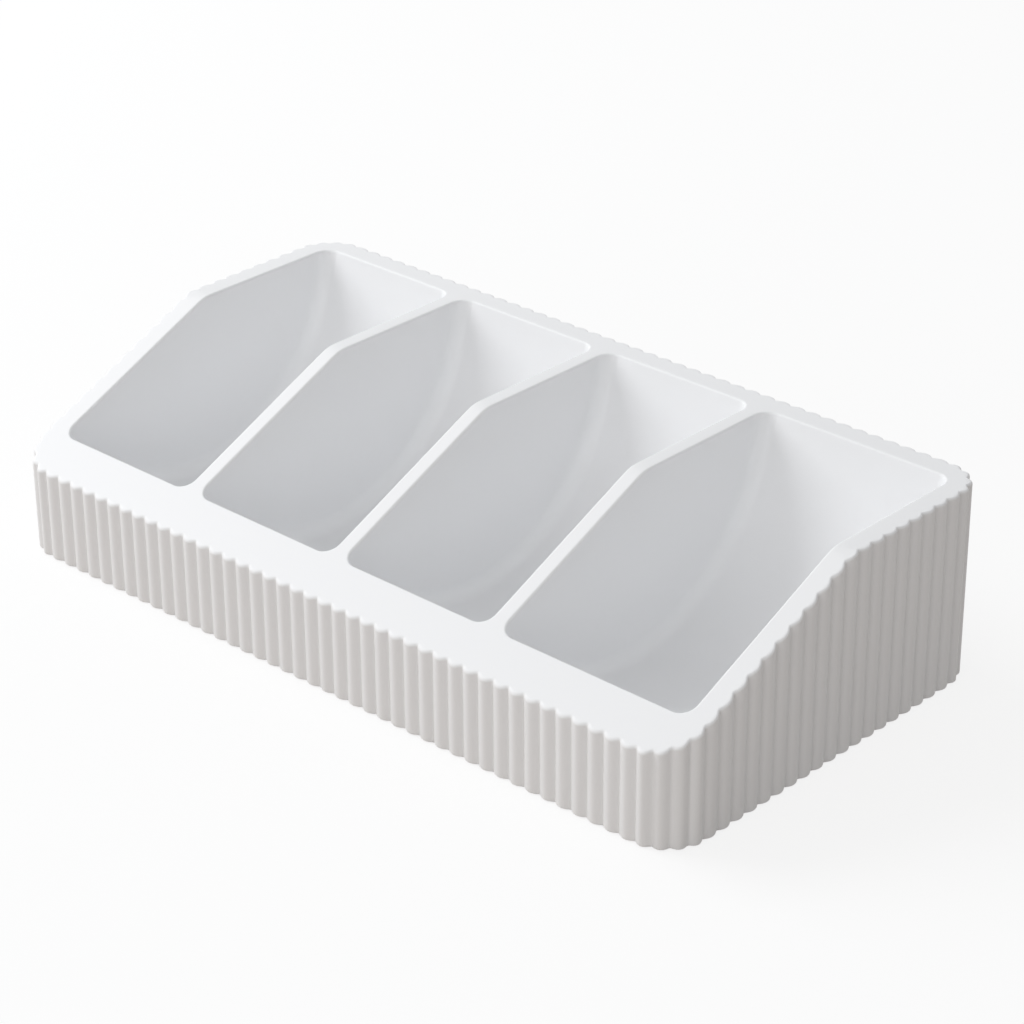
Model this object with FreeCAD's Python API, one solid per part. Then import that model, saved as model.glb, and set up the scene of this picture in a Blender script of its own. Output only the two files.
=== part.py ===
import FreeCAD, Part
import math
import os

# Organizer tray: one solid moulding, open at the top.
# Millimetres. X runs along the long side, Y from the low front to the high back, Z up.
# The origin is the middle of the underside.

# Pockets, from left to right: three equal ones and a wider one
narrow_pocket_width = 54.5
narrow_pocket_count = 3
wide_pocket_width = 65.1
divider_width = 5.4
end_wall_width = 7.6

# Body
depth = 134.0
front_height = 28.3
back_height = 60.5
break_from_front = 72.5
break_radius = 12.0
corner_radius = 13.5

# Reeded outside: one convex rib after another, right round the body
rib_pitch = 5.5
rib_depth = 1.1

# Pocket section, seen from the end: a round scoop that runs up into a leaning back wall
floor_thickness = 4.0
scoop_radius = 59.0
back_wall_lean = 17.0
back_rim_width = 8.0
inner_corner_bevel = 2.5
rim_bevel = 0.8

# Room that a cutting shape needs past the face that it opens
overcut = 6.0
# How near two places are when they count as the same
match_distance = 0.05

pocket_widths = [narrow_pocket_width] * narrow_pocket_count + [wide_pocket_width]
length = sum(pocket_widths) + divider_width * (len(pocket_widths) - 1) + 2.0 * end_wall_width

# The top face: a straight slope at the front and a level back, with a soft break between them
front_y = -depth / 2.0
back_y = depth / 2.0
slope = math.atan2(back_height - front_height, break_from_front)
break_tangent = break_radius * math.tan(slope / 2.0)
slope_end_y = front_y + break_from_front - break_tangent * math.cos(slope)
level_start_y = front_y + break_from_front + break_tangent
break_point = FreeCAD.Vector(0.0, front_y + break_from_front, back_height)

# The scoop: its arc meets the back wall tangentially, and the wall reaches the level top face one
# rim's width from the back
lean = math.radians(back_wall_lean)
scoop_centre_z = floor_thickness + scoop_radius
wall_bottom_z = scoop_centre_z - scoop_radius * math.sin(lean)
wall_bottom_y = back_y - back_rim_width - (back_height - wall_bottom_z) * math.tan(lean)
scoop_centre_y = wall_bottom_y - scoop_radius * math.cos(lean)


def top_height(y):
    """Height of the top face at y."""
    if y >= level_start_y:
        return back_height
    if y <= slope_end_y:
        return front_height + (y - front_y) * math.tan(slope)
    return back_height - break_radius + math.sqrt(break_radius ** 2 - (level_start_y - y) ** 2)


def on_top(y):
    """The point of the top face at y, in the end view."""
    return FreeCAD.Vector(0.0, y, top_height(y))


def rib_points_on_side(start, end, outward):
    """Valley and crest points of the ribs on one straight side, from start to end on the crest line."""
    run = end - start
    count = max(1, round(run.Length / rib_pitch))
    step = run / count
    inward = outward * -rib_depth
    points = []
    for i in range(count):
        points.append(start + step * i + inward)
        points.append(start + step * (i + 0.5))
    return points


def rib_points_on_corner(centre, start_angle):
    """Valley and crest points of the ribs round one quarter-turn corner."""
    count = max(1, round(corner_radius * math.pi / 2.0 / rib_pitch))
    step = math.pi / 2.0 / count
    points = []
    for i in range(count):
        for share, radius in ((0.0, corner_radius - rib_depth), (0.5, corner_radius)):
            angle = start_angle + step * (i + share)
            points.append(centre + FreeCAD.Vector(math.cos(angle), math.sin(angle), 0.0) * radius)
    return points


def reeded_outline():
    """The plan of the body: a rounded rectangle made of convex ribs."""
    half_length = length / 2.0
    half_depth = depth / 2.0
    points = []
    # Each side in turn, counter-clockwise from the front, with the corner that follows it
    for turn in range(4):
        angle = turn * math.pi / 2.0
        along = FreeCAD.Vector(math.cos(angle), math.sin(angle), 0.0)
        outward = FreeCAD.Vector(math.sin(angle), -math.cos(angle), 0.0)
        half_run, reach = (half_length, half_depth) if turn % 2 == 0 else (half_depth, half_length)
        half_run -= corner_radius
        start = outward * reach - along * half_run
        end = outward * reach + along * half_run
        points += rib_points_on_side(start, end, outward)
        points += rib_points_on_corner(end - outward * corner_radius, angle - math.pi / 2.0)
    edges = []
    for i in range(0, len(points), 2):
        valley, crest, next_valley = points[i], points[i + 1], points[(i + 2) % len(points)]
        edges.append(Part.Arc(valley, crest, next_valley).toShape())
    return Part.Wire(edges)


def side_profile_prism(wire, x_start, width):
    """A prism whose YZ section is the wire, from x_start for the width along X."""
    prism = Part.Face(wire).extrude(FreeCAD.Vector(width, 0.0, 0.0))
    prism.translate(FreeCAD.Vector(x_start, 0.0, 0.0))
    return prism


def body_section():
    """The end view of the body: low front, straight slope, soft break and level back."""
    front_top = on_top(front_y - overcut)
    slope_end = on_top(slope_end_y)
    arc_middle = on_top(level_start_y - break_radius * math.sin(slope / 2.0))
    level_start = on_top(level_start_y)
    back_top = on_top(back_y + overcut)
    back_bottom = FreeCAD.Vector(0.0, back_top.y, 0.0)
    front_bottom = FreeCAD.Vector(0.0, front_top.y, 0.0)
    return Part.Wire([
        Part.LineSegment(front_bottom, front_top).toShape(),
        Part.LineSegment(front_top, slope_end).toShape(),
        Part.Arc(slope_end, arc_middle, level_start).toShape(),
        Part.LineSegment(level_start, back_top).toShape(),
        Part.LineSegment(back_top, back_bottom).toShape(),
        Part.LineSegment(back_bottom, front_bottom).toShape(),
    ])


def outer_body():
    """The reeded block under the sloping top."""
    block = Part.Face(reeded_outline()).extrude(FreeCAD.Vector(0.0, 0.0, back_height + overcut))
    envelope = side_profile_prism(body_section(), -length / 2.0 - overcut, length + 2.0 * overcut)
    return block.common(envelope)


def scoop_section():
    """The end view of a pocket: the scoop's arc, the leaning back wall and an open top."""
    open_z = max(back_height, scoop_centre_z) + overcut
    wall_top_y = wall_bottom_y + (open_z - wall_bottom_z) * math.tan(lean)
    wall_bottom = FreeCAD.Vector(0.0, wall_bottom_y, wall_bottom_z)
    wall_top = FreeCAD.Vector(0.0, wall_top_y, open_z)
    lowest = FreeCAD.Vector(0.0, scoop_centre_y, floor_thickness)
    front_end = FreeCAD.Vector(0.0, scoop_centre_y - scoop_radius, scoop_centre_z)
    front_top = FreeCAD.Vector(0.0, front_end.y, open_z)
    return Part.Wire([
        Part.Arc(front_end, lowest, wall_bottom).toShape(),
        Part.LineSegment(wall_bottom, wall_top).toShape(),
        Part.LineSegment(wall_top, front_top).toShape(),
        Part.LineSegment(front_top, front_end).toShape(),
    ])


def pocket_space(x_left, width):
    """What is taken out for one pocket: the scoop between its side walls, with bevelled inner corners."""
    space = side_profile_prism(scoop_section(), x_left, width)
    # The inner corners are the scoop's and the back wall's edges along the two side walls
    corner_edges = []
    for edge in space.Edges:
        box = edge.BoundBox
        in_side_wall = box.XLength < match_distance
        if in_side_wall and box.YLength > match_distance and box.ZMin < back_height:
            corner_edges.append(edge)
    return space.makeChamfer(inner_corner_bevel, corner_edges)


def pocket_places():
    """The left wall's place along X and the width of each pocket."""
    places = []
    x_left = -length / 2.0 + end_wall_width
    for width in pocket_widths:
        places.append((x_left, width))
        x_left += width + divider_width
    return places


def grown(corners, distance):
    """The corners of a convex polygon whose sides have moved outwards by the distance."""
    moved = []
    for i, corner in enumerate(corners):
        before = (corner - corners[i - 1]).normalize()
        after = (corners[(i + 1) % len(corners)] - corner).normalize()
        # The two sides' outward directions together point along the line that the corner moves on
        outward = FreeCAD.Vector(before.y + after.y, -before.x - after.x, 0.0)
        moved.append(corner + outward * (distance / (1.0 + before.dot(after))))
    return moved


def mouth_flare(corners, angle):
    """What bevels a mouth's rim in one plane of the top face: it widens by as much as it rises."""
    along = FreeCAD.Vector(0.0, math.cos(angle), math.sin(angle))
    normal = FreeCAD.Vector(0.0, -math.sin(angle), math.cos(angle))
    rings = []
    # The corners lie where the bevel starts, and the cut runs from inside the pocket to above the top face
    for growth in (-rim_bevel, 2.0 * rim_bevel):
        ring = []
        for corner in grown(corners, growth):
            across = FreeCAD.Vector(corner.x, 0.0, 0.0)
            ring.append(break_point + across + along * corner.y + normal * (growth - rim_bevel))
        rings.append(ring)
    low, high = rings
    outlines = [low, high]
    for i in range(len(corners)):
        outlines.append([low[i - 1], low[i], high[i], high[i - 1]])
    faces = [Part.Face(Part.makePolygon(outline + outline[:1])) for outline in outlines]
    return Part.Solid(Part.Shell(faces))


def scoop_under_slope(radius):
    """How far along the slope from the break an arc about the scoop's centre is, one bevel deep."""
    along = FreeCAD.Vector(0.0, math.cos(slope), math.sin(slope))
    normal = FreeCAD.Vector(0.0, -math.sin(slope), math.cos(slope))
    offset = break_point - normal * rim_bevel - FreeCAD.Vector(0.0, scoop_centre_y, scoop_centre_z)
    middle = offset.dot(along)
    return -middle - math.sqrt(middle ** 2 - offset.dot(offset) + radius ** 2)


def slope_flare(x_left, width):
    """The rim's bevel in the slope: the front of the mouth, with its cut corners, and past the break."""
    x_right = x_left + width
    front = scoop_under_slope(scoop_radius)
    side_front = scoop_under_slope(scoop_radius - inner_corner_bevel)
    return mouth_flare([
        FreeCAD.Vector(x_left, side_front, 0.0),
        FreeCAD.Vector(x_left + inner_corner_bevel, front, 0.0),
        FreeCAD.Vector(x_right - inner_corner_bevel, front, 0.0),
        FreeCAD.Vector(x_right, side_front, 0.0),
        FreeCAD.Vector(x_right, overcut, 0.0),
        FreeCAD.Vector(x_left, overcut, 0.0),
    ], slope)


def level_flare(x_left, width):
    """The rim's bevel in the level back: the back of the mouth, with its cut corners, and past the break."""
    x_right = x_left + width
    back = back_y - back_rim_width - rim_bevel * math.tan(lean) - break_point.y
    side_back = back - inner_corner_bevel / math.cos(lean)
    return mouth_flare([
        FreeCAD.Vector(x_left, -overcut, 0.0),
        FreeCAD.Vector(x_right, -overcut, 0.0),
        FreeCAD.Vector(x_right, side_back, 0.0),
        FreeCAD.Vector(x_right - inner_corner_bevel, back, 0.0),
        FreeCAD.Vector(x_left + inner_corner_bevel, back, 0.0),
        FreeCAD.Vector(x_left, side_back, 0.0),
    ], 0.0)


def organizer_tray():
    """The whole moulding."""
    tray = outer_body()
    for x_left, width in pocket_places():
        for space in (pocket_space, slope_flare, level_flare):
            tray = tray.cut(space(x_left, width))
    return tray.Solids[0]


os.makedirs("parts", exist_ok=True)
organizer_tray().exportStep("parts/organizer_tray.step")
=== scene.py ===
import math

import bmesh
import bpy
from mathutils import Matrix, Vector
from mathutils.geometry import delaunay_2d_cdt


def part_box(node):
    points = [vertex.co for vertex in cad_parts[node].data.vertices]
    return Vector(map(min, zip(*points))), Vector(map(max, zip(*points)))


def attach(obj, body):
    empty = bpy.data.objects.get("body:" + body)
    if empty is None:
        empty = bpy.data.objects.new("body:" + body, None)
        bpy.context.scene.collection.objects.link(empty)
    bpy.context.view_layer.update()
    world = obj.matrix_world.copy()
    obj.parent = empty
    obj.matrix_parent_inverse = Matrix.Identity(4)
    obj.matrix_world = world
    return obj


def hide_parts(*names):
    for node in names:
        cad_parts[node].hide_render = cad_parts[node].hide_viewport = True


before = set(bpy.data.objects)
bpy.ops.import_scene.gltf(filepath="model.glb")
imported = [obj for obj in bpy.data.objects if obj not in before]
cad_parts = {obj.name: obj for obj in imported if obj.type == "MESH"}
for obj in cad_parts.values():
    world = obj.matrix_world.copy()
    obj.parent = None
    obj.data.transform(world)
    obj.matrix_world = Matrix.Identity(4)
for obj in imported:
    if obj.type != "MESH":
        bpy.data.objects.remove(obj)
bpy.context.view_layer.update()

MM = 0.001


# The reeded outer wall.
# One band of upright ribs, moulded with the rest of the tray. Each rib has a broad round crest and a
# softer, narrower valley, and the band ends in a small round at the top and another at the base.
low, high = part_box("organizer_tray")
HALF_LENGTH = (high[0] - low[0]) / 2.0
HALF_DEPTH = (high[1] - low[1]) / 2.0
BACK_HEIGHT = high[2]
FRONT_HEIGHT = 28.3 * MM
BREAK_FROM_FRONT = 72.5 * MM
BREAK_RADIUS = 12.0 * MM
CORNER_RADIUS = 13.5 * MM
RIB_PITCH = 5.5 * MM
RIB_DEPTH = 1.1 * MM
RIM_ROUND = 0.8 * MM
BASE_ROUND = 0.5 * MM
RIB_FACES = 14
VALLEY_LEVEL = 0.08
VALLEY_EASE = 0.14
ROUND_FACES = 4
# How near two ribs' edges are when they are the same edge
RIB_MERGE = 0.01 * MM

slope = math.atan2(BACK_HEIGHT - FRONT_HEIGHT, BREAK_FROM_FRONT)
level_start = -HALF_DEPTH + BREAK_FROM_FRONT + BREAK_RADIUS * math.tan(slope / 2.0)
slope_end = level_start - BREAK_RADIUS * math.sin(slope)


def top_height(y):
    """Height of the top face at y: a slope, a soft break and a level back."""
    on_arc = min(max(y, slope_end), level_start)
    arc = BACK_HEIGHT - BREAK_RADIUS + math.sqrt(BREAK_RADIUS ** 2 - (level_start - on_arc) ** 2)
    return arc + min(y - slope_end, 0.0) * math.tan(slope)


class Wire:
    """One output of a node, on which plain arithmetic adds the tree's Math nodes."""

    def __init__(self, tree, socket):
        self.tree = tree
        self.socket = socket

    def node(self, kind, settings=None, inputs=None, output=0):
        """Any other node: its settings first, then the values or links of its sockets."""
        made = self.tree.nodes.new(kind)
        for name, value in (settings or {}).items():
            setattr(made, name, value)
        for name, value in (inputs or {}).items():
            if isinstance(value, Wire):
                self.tree.links.new(value.socket, made.inputs[name])
            else:
                made.inputs[name].default_value = value
        return Wire(self.tree, made.outputs[output])

    def math(self, operation, *values):
        return self.node("ShaderNodeMath", {"operation": operation}, dict(enumerate(values)))

    def __add__(self, other):
        return self.math("ADD", self, other)

    def __radd__(self, other):
        return self.math("ADD", other, self)

    def __sub__(self, other):
        return self.math("SUBTRACT", self, other)

    def __rsub__(self, other):
        return self.math("SUBTRACT", other, self)

    def __mul__(self, other):
        return self.math("MULTIPLY", self, other)

    def __rmul__(self, other):
        return self.math("MULTIPLY", other, self)

    def __truediv__(self, other):
        return self.math("DIVIDE", self, other)

    def __pow__(self, other):
        return self.math("POWER", self, other)

    def clamp(self, lowest, highest):
        return self.math("MINIMUM", self.math("MAXIMUM", self, lowest), highest)


def rib_path():
    """Each rib's middle on the valley line, the way that it faces, its width and its rise."""
    stations = []
    valley = CORNER_RADIUS - RIB_DEPTH
    for turn in range(4):
        angle = turn * math.pi / 2.0
        along = Vector((math.cos(angle), math.sin(angle), 0.0))
        outward = Vector((math.sin(angle), -math.cos(angle), 0.0))
        half_run, reach = (HALF_LENGTH, HALF_DEPTH) if turn % 2 == 0 else (HALF_DEPTH, HALF_LENGTH)
        half_run -= CORNER_RADIUS
        count = round(2.0 * half_run / RIB_PITCH)
        step = 2.0 * half_run / count
        for i in range(count):
            place = along * (step * (i + 0.5) - half_run) + outward * (reach - RIB_DEPTH)
            stations.append((place, angle, step, RIB_DEPTH))
        count = round(CORNER_RADIUS * math.pi / 2.0 / RIB_PITCH)
        turn_step = math.pi / 2.0 / count
        centre = outward * (reach - CORNER_RADIUS) + along * half_run
        chord_reach = valley * math.cos(turn_step / 2.0)
        for i in range(count):
            facing = angle - math.pi / 2.0 + turn_step * (i + 0.5)
            place = centre + Vector((math.cos(facing), math.sin(facing), 0.0)) * chord_reach
            width = 2.0 * valley * math.sin(turn_step / 2.0)
            stations.append((place, facing + math.pi / 2.0, width, CORNER_RADIUS - chord_reach))
    return stations


def path_mesh(stations):
    """Loose points that carry each rib's turn and size."""
    mesh = bpy.data.meshes.new("rib_stations")
    mesh.from_pydata([station[0] for station in stations], [], [])
    turns = mesh.attributes.new("rib_turn", "FLOAT_VECTOR", "POINT")
    sizes = mesh.attributes.new("rib_size", "FLOAT_VECTOR", "POINT")
    for i, (_, turn, width, rise) in enumerate(stations):
        turns.data[i].vector = (0.0, 0.0, turn)
        sizes.data[i].vector = (width, rise, 1.0)
    return mesh


def eased_height(crest):
    """What the easing into the valley makes of a height on the crest's own curve."""
    return (crest + VALLEY_LEVEL + math.hypot(crest - VALLEY_LEVEL, VALLEY_EASE)) / 2.0


def reeded_wall_tree():
    """Lays one rib along the path again and again, then shapes the band's top and base."""
    tree = bpy.data.node_groups.new("reeded_wall", "GeometryNodeTree")
    face = tree.interface
    face.new_socket("Geometry", in_out="INPUT", socket_type="NodeSocketGeometry")
    for name in ("Faces Across Rib", "Faces In Round"):
        face.new_socket(name, in_out="INPUT", socket_type="NodeSocketInt")
    for name in ("Rim Round", "Base Round", "Back Height", "Break Radius", "Level Start",
                 "Slope End", "Slope Rise"):
        face.new_socket(name, in_out="INPUT", socket_type="NodeSocketFloat")
    face.new_socket("Material", in_out="INPUT", socket_type="NodeSocketMaterial")
    face.new_socket("Geometry", in_out="OUTPUT", socket_type="NodeSocketGeometry")
    group = tree.nodes.new("NodeGroupInput")
    given = {socket.name: Wire(tree, socket) for socket in group.outputs if socket.name}
    start = given["Geometry"]

    # One flat strip a unit wide: X across the rib, Y up through the rows
    rows = given["Faces In Round"] * 2.0 + 2.0
    grid = start.node("GeometryNodeMeshGrid", None, {
        "Size X": 1.0, "Size Y": 1.0, "Vertices X": given["Faces Across Rib"] + 1.0, "Vertices Y": rows})
    place = start.node("GeometryNodeInputPosition")
    across = start.node("ShaderNodeSeparateXYZ", None, {0: place})
    row = Wire(tree, across.socket.node.outputs[1])
    row_place = (row + 0.5) * (rows - 1.0)
    row_number = row_place.math("ROUND", row_place)
    stored = start.node("GeometryNodeStoreNamedAttribute", {"data_type": "FLOAT", "domain": "POINT"}, {
        "Geometry": grid, "Name": "row", "Value": row_number})
    # The rib's section: a round crest that falls away on both sides and eases into the valley
    crest = 1.0 - 4.0 * across * across
    above = crest - VALLEY_LEVEL
    squared = above * above + VALLEY_EASE ** 2
    eased = (crest + VALLEY_LEVEL + squared.math("SQRT", squared)) * 0.5
    lowest, highest = eased_height(0.0), eased_height(1.0)
    rise = (eased - lowest) / (highest - lowest)
    # The local front of a rib faces away from the tray, which is towards -Y
    strip_place = start.node("ShaderNodeCombineXYZ", None, {"X": across, "Y": 0.0 - rise, "Z": row})
    strip = start.node("GeometryNodeSetPosition", None, {"Geometry": stored, "Position": strip_place})

    turn = start.node("GeometryNodeInputNamedAttribute", {"data_type": "FLOAT_VECTOR"}, {"Name": "rib_turn"})
    size = start.node("GeometryNodeInputNamedAttribute", {"data_type": "FLOAT_VECTOR"}, {"Name": "rib_size"})
    points = start.node("GeometryNodeMeshToPoints", None, {"Mesh": start})
    ribs = start.node("GeometryNodeInstanceOnPoints", None, {
        "Points": points, "Instance": strip, "Rotation": turn, "Scale": size})
    joined = start.node("GeometryNodeRealizeInstances", None, {"Geometry": ribs})
    band = start.node("GeometryNodeMergeByDistance", None, {"Geometry": joined, "Distance": RIB_MERGE})

    # Rows up to Faces In Round turn the base, and the rest turn the rim
    number = start.node("GeometryNodeInputNamedAttribute", {"data_type": "FLOAT"}, {"Name": "row"})
    faces = given["Faces In Round"]
    base_turn = (number / faces).clamp(0.0, 1.0) * (math.pi / 2.0)
    rim_turn = ((number - faces - 1.0) / faces).clamp(0.0, 1.0) * (math.pi / 2.0)
    in_rim = number.math("GREATER_THAN", number, faces + 0.5)
    base_inset = given["Base Round"] * (1.0 - base_turn.math("SINE", base_turn))
    rim_inset = given["Rim Round"] * (1.0 - rim_turn.math("COSINE", rim_turn))
    base_z = given["Base Round"] * (1.0 - base_turn.math("COSINE", base_turn))
    inset = in_rim * rim_inset + (1.0 - in_rim) * base_inset
    normal = start.node("GeometryNodeInputNormal")
    pull = start.node("ShaderNodeVectorMath", {"operation": "SCALE"}, {0: normal, "Scale": 0.0 - inset})
    drawn = start.node("ShaderNodeVectorMath", {"operation": "ADD"}, {0: place, 1: pull})
    drawn_split = start.node("ShaderNodeSeparateXYZ", None, {0: drawn})
    drawn_y = Wire(tree, drawn_split.socket.node.outputs[1])
    on_arc = drawn_y.clamp(given["Slope End"], given["Level Start"])
    radius = given["Break Radius"]
    inner = radius ** 2.0 - (given["Level Start"] - on_arc) ** 2.0
    arc = given["Back Height"] - radius + inner.math("SQRT", inner)
    below = drawn_y - given["Slope End"]
    top_z = arc + below.math("MINIMUM", below, 0.0) * given["Slope Rise"]
    rim_z = top_z - given["Rim Round"] * (1.0 - rim_turn.math("SINE", rim_turn))
    final_z = in_rim * rim_z + (1.0 - in_rim) * base_z
    final_place = start.node("ShaderNodeCombineXYZ", None, {"X": drawn_split, "Y": drawn_y, "Z": final_z})
    shaped = start.node("GeometryNodeSetPosition", None, {"Geometry": band, "Position": final_place})
    painted = start.node("GeometryNodeSetMaterial", None, {
        "Geometry": shaped, "Material": given["Material"]})
    result = tree.nodes.new("NodeGroupOutput")
    tree.links.new(painted.socket, result.inputs[0])
    return tree


# Matte white moulded resin: nearly even in colour, with a faint bloom, and a fine dry grain that
# breaks up its soft sheen.
BLOOM_SCALE = 14.0
GRAIN_SCALE = 2600.0
DARKER_WHITE = (0.862, 0.867, 0.878, 1.0)
LIGHTER_WHITE = (0.888, 0.893, 0.904, 1.0)
EVEN_ROUGHNESS = 0.46
BLOOM_ROUGHNESS = 0.08
GRAIN_ROUGHNESS = 0.06
SHEEN = 0.4
GRAIN_STRENGTH = 0.12
GRAIN_HEIGHT = 0.06 * MM


def tray_material():
    made = bpy.data.materials.new("tray_matte_white")
    made.use_nodes = True
    tree = made.node_tree
    surface = tree.nodes["Principled BSDF"]
    where = Wire(tree, tree.nodes.new("ShaderNodeTexCoord").outputs["Object"])
    bloom = where.node("ShaderNodeTexNoise", None, {"Vector": where, "Scale": BLOOM_SCALE, "Detail": 3.0})
    grain = where.node("ShaderNodeTexNoise", None, {"Vector": where, "Scale": GRAIN_SCALE, "Detail": 2.0})
    tint = where.node("ShaderNodeMix", {"data_type": "RGBA"}, {
        0: bloom, 6: DARKER_WHITE, 7: LIGHTER_WHITE}, output=2)
    tree.links.new(tint.socket, surface.inputs["Base Color"])
    roughness = EVEN_ROUGHNESS + BLOOM_ROUGHNESS * bloom + GRAIN_ROUGHNESS * grain
    tree.links.new(roughness.socket, surface.inputs["Roughness"])
    surface.inputs["Specular IOR Level"].default_value = SHEEN
    bump = where.node("ShaderNodeBump", None, {
        "Strength": GRAIN_STRENGTH, "Distance": GRAIN_HEIGHT, "Height": grain})
    tree.links.new(bump.socket, surface.inputs["Normal"])
    return made


TRAY_WHITE = tray_material()
wall = bpy.data.objects.new("reeded_wall_path", path_mesh(rib_path()))
bpy.context.scene.collection.objects.link(wall)
ribbing = wall.modifiers.new("ribs", "NODES")
ribbing.node_group = reeded_wall_tree()
wall_sizes = {
    "Faces Across Rib": RIB_FACES, "Faces In Round": ROUND_FACES, "Rim Round": RIM_ROUND,
    "Base Round": BASE_ROUND, "Back Height": BACK_HEIGHT, "Break Radius": BREAK_RADIUS,
    "Level Start": level_start, "Slope End": slope_end, "Slope Rise": math.tan(slope),
    "Material": TRAY_WHITE}
for item in ribbing.node_group.interface.items_tree:
    if item.in_out == "INPUT" and item.name in wall_sizes:
        ribbing[item.identifier] = wall_sizes[item.name]
depsgraph = bpy.context.evaluated_depsgraph_get()
wall_mesh = bpy.data.meshes.new_from_object(wall.evaluated_get(depsgraph))
bpy.data.objects.remove(wall)


# The pockets and the top face.
# Each pocket is a round scoop between two flat side walls, with a soft fillet along them, and the
# top face runs between the pockets and the reeded wall with every edge lightly rounded.
POCKET_WIDTHS = [54.5 * MM, 54.5 * MM, 54.5 * MM, 65.1 * MM]
DIVIDER_WIDTH = 5.4 * MM
END_WALL_WIDTH = 7.6 * MM
FLOOR_THICKNESS = 4.0 * MM
SCOOP_RADIUS = 59.0 * MM
BACK_WALL_LEAN = math.radians(17.0)
BACK_RIM_WIDTH = 8.0 * MM
SCOOP_EDGE = 4.5 * MM
SCOOP_STEPS = 72
WALL_STEPS = 8
EDGE_STEPS = 8
HALVINGS = 40
# How near two vertices are when they are one, and two places in the plan of the top face
WELD_DISTANCE = 0.001 * MM
PLAN_TOLERANCE = 0.0001 * MM
SHADING_WEIGHT = 60

scoop_z = FLOOR_THICKNESS + SCOOP_RADIUS
wall_rise = BACK_HEIGHT - scoop_z + SCOOP_RADIUS * math.sin(BACK_WALL_LEAN)
wall_y = HALF_DEPTH - BACK_RIM_WIDTH - wall_rise * math.tan(BACK_WALL_LEAN)
scoop_y = wall_y - SCOOP_RADIUS * math.cos(BACK_WALL_LEAN)


def crossing(point_at, inside, outside):
    """Where a pocket's line passes RIM_ROUND under the top face, found by halving."""
    for _ in range(HALVINGS):
        middle = (inside + outside) / 2.0
        y, z = point_at(middle)
        if z < top_height(y) - RIM_ROUND:
            inside = middle
        else:
            outside = middle
    return inside


def pocket_line(offset):
    """The pocket's end view, moved inwards by offset: points (y, z) from the front rim to the back rim."""
    radius = SCOOP_RADIUS - offset

    def on_arc(angle):
        return scoop_y + radius * math.cos(angle), scoop_z + radius * math.sin(angle)

    def on_wall(travel):
        y, z = on_arc(-BACK_WALL_LEAN)
        return y + travel * math.sin(BACK_WALL_LEAN), z + travel * math.cos(BACK_WALL_LEAN)

    front = crossing(on_arc, -math.pi / 2.0, -math.pi)
    rise = crossing(on_wall, 0.0, BACK_HEIGHT)
    points = []
    for i in range(SCOOP_STEPS):
        points.append(on_arc(front + (-BACK_WALL_LEAN - front) * i / SCOOP_STEPS))
    for i in range(WALL_STEPS + 1):
        points.append(on_wall(rise * i / WALL_STEPS))
    return points


def pocket_half(bm, x_wall, inward):
    """One side wall and its fillet. Returns the lines of vertices from wall to scoop, and the wall's top."""
    lines = []
    for step in range(EDGE_STEPS + 1):
        turn = math.pi / 2.0 * step / EDGE_STEPS
        x = x_wall + inward * SCOOP_EDGE * (1.0 - math.cos(turn))
        profile = pocket_line(SCOOP_EDGE * (1.0 - math.sin(turn)))
        lines.append([bm.verts.new((x, y, z)) for y, z in profile])
    top = [lines[0][0]]
    for vert in lines[0][1:-1]:
        top.append(bm.verts.new((x_wall, vert.co.y, top_height(vert.co.y) - RIM_ROUND)))
    top.append(lines[0][-1])
    return lines, top


def fill_between(bm, first, second, flip):
    """Faces between two lines of vertices, leaving out the sides that have closed up."""
    for i in range(len(first) - 1):
        corners = [first[i], first[i + 1], second[i + 1], second[i]]
        corners = [vert for j, vert in enumerate(corners) if vert not in corners[:j]]
        if flip:
            corners.reverse()
        bm.faces.new(corners)


def rounded_rim(bm, ring):
    """Rolls the ring of a pocket's mouth outwards and up to the top face. Returns the last ring."""
    count = len(ring)
    middle = sum((vert.co for vert in ring), Vector()) / count
    outward = []
    for i in range(count):
        run = ring[(i + 1) % count].co - ring[i - 1].co
        side = Vector((run.y, -run.x, 0.0)).normalized()
        if side.dot(ring[i].co - middle) < 0.0:
            side.negate()
        outward.append(side)
    rows = [ring]
    for step in range(1, ROUND_FACES + 1):
        turn = math.pi / 2.0 * step / ROUND_FACES
        row = []
        for vert, side in zip(ring, outward):
            place = vert.co + side * RIM_ROUND * (1.0 - math.cos(turn))
            place.z = top_height(place.y) - RIM_ROUND * (1.0 - math.sin(turn))
            row.append(bm.verts.new(place))
        rows.append(row)
    for inner, outer in zip(rows, rows[1:]):
        fill_between(bm, inner + inner[:1], outer + outer[:1], False)
    return rows[-1]


def pocket(bm, x_left, width):
    """One whole pocket. Returns the ring where it meets the top face."""
    left, left_top = pocket_half(bm, x_left, 1.0)
    right, right_top = pocket_half(bm, x_left + width, -1.0)
    for lines, top, flip in ((left, left_top, True), (right, right_top, False)):
        fill_between(bm, top, lines[0], flip)
        for first, second in zip(lines, lines[1:]):
            fill_between(bm, first, second, flip)
    fill_between(bm, left[-1], right[-1], True)
    ring = list(left_top)
    ring += [line[-1] for line in left[1:]]
    ring += [line[-1] for line in reversed(right[1:])]
    ring += list(reversed(right_top))
    ring += [line[0] for line in right[1:]]
    ring += [line[0] for line in reversed(left[1:])]
    return rounded_rim(bm, ring)


def boundary_ring(bm, above):
    """The wall's open edge above or below half height, in order."""
    edges = {}
    for edge in bm.edges:
        if edge.is_boundary and (edge.verts[0].co.z > FRONT_HEIGHT / 2.0) == above:
            for vert in edge.verts:
                edges.setdefault(vert, []).append(edge)
    start = next(iter(edges))
    ring = [start]
    edge = edges[start][0]
    while True:
        vert = edge.other_vert(ring[-1])
        if vert is start:
            return ring
        ring.append(vert)
        edge = edges[vert][1] if edges[vert][0] is edge else edges[vert][0]


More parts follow.
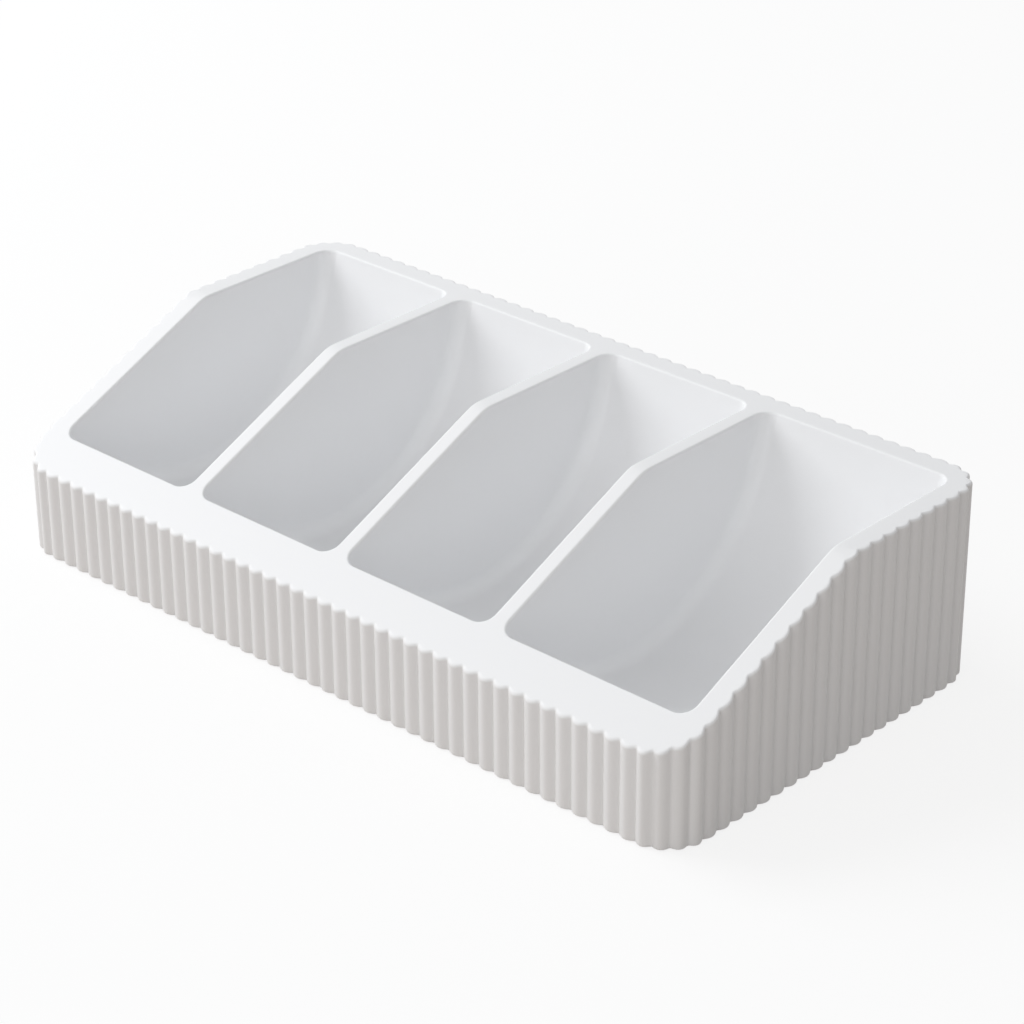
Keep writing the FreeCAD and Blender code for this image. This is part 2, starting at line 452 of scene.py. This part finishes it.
def holds_point(ring, x, y):
    """Whether a ring of vertices, seen from above, goes round the point."""
    found = False
    for a, b in zip(ring, ring[1:] + ring[:1]):
        if (a.co.y > y) != (b.co.y > y):
            if x < a.co.x + (y - a.co.y) * (b.co.x - a.co.x) / (b.co.y - a.co.y):
                found = not found
    return found


def top_face(bm, outer, mouths):
    """Triangles between the wall's rim and the pockets' mouths, bent over the soft break."""
    loops = [outer] + mouths
    verts = [vert for loop in loops for vert in loop]
    edges = []
    start = 0
    for loop in loops:
        edges += [(start + i, start + (i + 1) % len(loop)) for i in range(len(loop))]
        start += len(loop)
    places = [vert.co.xy for vert in verts]
    found = delaunay_2d_cdt(places, edges, [], 1, PLAN_TOLERANCE)
    made = {}
    for index, origins in enumerate(found[3]):
        if origins:
            made[index] = verts[origins[0]]
        else:
            x, y = found[0][index]
            made[index] = bm.verts.new((x, y, top_height(y)))
    for corners in found[2]:
        x = sum(found[0][i].x for i in corners) / len(corners)
        y = sum(found[0][i].y for i in corners) / len(corners)
        if not any(holds_point(mouth, x, y) for mouth in mouths):
            bm.faces.new([made[i] for i in corners])


bm = bmesh.new()
bm.from_mesh(wall_mesh)
outer_rim = boundary_ring(bm, True)
bm.faces.new(boundary_ring(bm, False))
mouth_rings = []
pocket_left = -HALF_LENGTH + END_WALL_WIDTH
for pocket_width in POCKET_WIDTHS:
    mouth_rings.append(pocket(bm, pocket_left, pocket_width))
    pocket_left += pocket_width + DIVIDER_WIDTH
top_face(bm, outer_rim, mouth_rings)
bmesh.ops.remove_doubles(bm, verts=bm.verts, dist=WELD_DISTANCE)
bmesh.ops.recalc_face_normals(bm, faces=bm.faces)
for face in bm.faces:
    face.smooth = True
tray_mesh = bpy.data.meshes.new("tray_shell")
bm.to_mesh(tray_mesh)
bm.free()
tray_mesh.materials.clear()
tray_mesh.materials.append(TRAY_WHITE)
tray = bpy.data.objects.new("tray_shell", tray_mesh)
bpy.context.scene.collection.objects.link(tray)
even_shading = tray.modifiers.new("even_shading", "WEIGHTED_NORMAL")
even_shading.weight = SHADING_WEIGHT
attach(tray, "root")
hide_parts("organizer_tray")


# The floor.
# A plain pale sheet just under the tray, which the camera sees as white with the tray's shadow on it.
# Light that bounces off it is weaker and a little warm.
FLOOR_HALF = 3.0
FLOOR_DROP = 0.2 * MM
OWN_WHITE = 0.8
BOUNCE_COLOUR = (0.46, 0.40, 0.35, 1.0)
SEEN_COLOUR = (0.98, 0.98, 0.98, 1.0)
floor_mesh = bpy.data.meshes.new("floor")
floor_mesh.from_pydata(
    [(-FLOOR_HALF, -FLOOR_HALF, 0.0), (FLOOR_HALF, -FLOOR_HALF, 0.0),
     (FLOOR_HALF, FLOOR_HALF, 0.0), (-FLOOR_HALF, FLOOR_HALF, 0.0)], [], [(0, 1, 2, 3)])
floor = bpy.data.objects.new("floor", floor_mesh)
floor.location.z = -FLOOR_DROP
bpy.context.scene.collection.objects.link(floor)


def seen_directly(tree):
    """1 where the camera, a mirror or a clear thing looks, and 0 for light that bounces."""
    path = tree.nodes.new("ShaderNodeLightPath").outputs
    camera = Wire(tree, path["Is Camera Ray"])
    total = camera + Wire(tree, path["Is Glossy Ray"]) + Wire(tree, path["Is Transmission Ray"])
    return total.clamp(0.0, 1.0)


def floor_material():
    made = bpy.data.materials.new("floor_white")
    made.use_nodes = True
    tree = made.node_tree
    surface = tree.nodes["Principled BSDF"]
    tint = seen_directly(tree)
    colour = tint.node("ShaderNodeMix", {"data_type": "RGBA"}, {
        0: tint, 6: BOUNCE_COLOUR, 7: SEEN_COLOUR}, output=2)
    tree.links.new(colour.socket, surface.inputs["Base Color"])
    surface.inputs["Roughness"].default_value = 1.0
    surface.inputs["Specular IOR Level"].default_value = 0.0
    # Looked at directly the sheet is mostly its own even white, and the rest takes the shadow
    white = tree.nodes.new("ShaderNodeEmission")
    white.inputs["Color"].default_value = (1.0, 1.0, 1.0, 1.0)
    mixed = tree.nodes.new("ShaderNodeMixShader")
    tree.links.new((tint * OWN_WHITE).socket, mixed.inputs[0])
    tree.links.new(surface.outputs[0], mixed.inputs[1])
    tree.links.new(white.outputs[0], mixed.inputs[2])
    tree.links.new(mixed.outputs[0], tree.nodes["Material Output"].inputs["Surface"])
    return made


floor_mesh.materials.append(floor_material())


# The light.
# An even pale sky, a broad soft lamp high on the left that leaves the right end in shade, and a weaker
# one low in front.
SKY_STRENGTH = 0.52
LAMP_TARGET = (0.0, 0.0, 0.02)
world = bpy.data.worlds.new("studio")
bpy.context.scene.world = world
world.use_nodes = True
sky = world.node_tree.nodes["Background"]
sky_seen = seen_directly(world.node_tree)
world.node_tree.links.new(
    (sky_seen + (1.0 - sky_seen) * SKY_STRENGTH).socket, sky.inputs["Strength"])
sky.inputs["Color"].default_value = (1.0, 1.0, 1.0, 1.0)


def lamp(name, place, size, power, colour):
    """A square soft lamp at place that points at the tray."""
    light = bpy.data.lights.new(name, "AREA")
    light.size = size
    light.energy = power
    light.color = colour
    made = bpy.data.objects.new(name, light)
    made.location = place
    made.rotation_euler = (Vector(LAMP_TARGET) - Vector(place)).to_track_quat("-Z", "Y").to_euler()
    bpy.context.scene.collection.objects.link(made)


lamp("key", (-1.42, -0.42, 1.15), 1.2, 22.0, (0.97, 0.985, 1.0))
lamp("front_fill", (0.35, -2.0, 0.5), 1.0, 6.5, (1.0, 0.99, 0.98))


# The camera.
# It stands high in front of the tray's right end, with a long lens, and looks down at the tray.
CAMERA_PLACE = Vector((0.55601, -0.58213, 0.44584))
CAMERA_RIGHT = Vector((0.732986, 0.680218, -0.005940))
CAMERA_DOWN = Vector((0.308335, -0.340012, -0.888438))
CAMERA_AHEAD = Vector((-0.606351, 0.649381, -0.458959))
CAMERA_LENS = 109.97
view = bpy.data.cameras.new("view")
view.lens = CAMERA_LENS
camera = bpy.data.objects.new("view", view)
turned = Matrix((CAMERA_RIGHT, -CAMERA_DOWN, -CAMERA_AHEAD)).transposed()
camera.matrix_world = Matrix.Translation(CAMERA_PLACE) @ turned.to_4x4()
bpy.context.scene.collection.objects.link(camera)
bpy.context.scene.camera = camera
bpy.context.scene.view_settings.view_transform = "Standard"
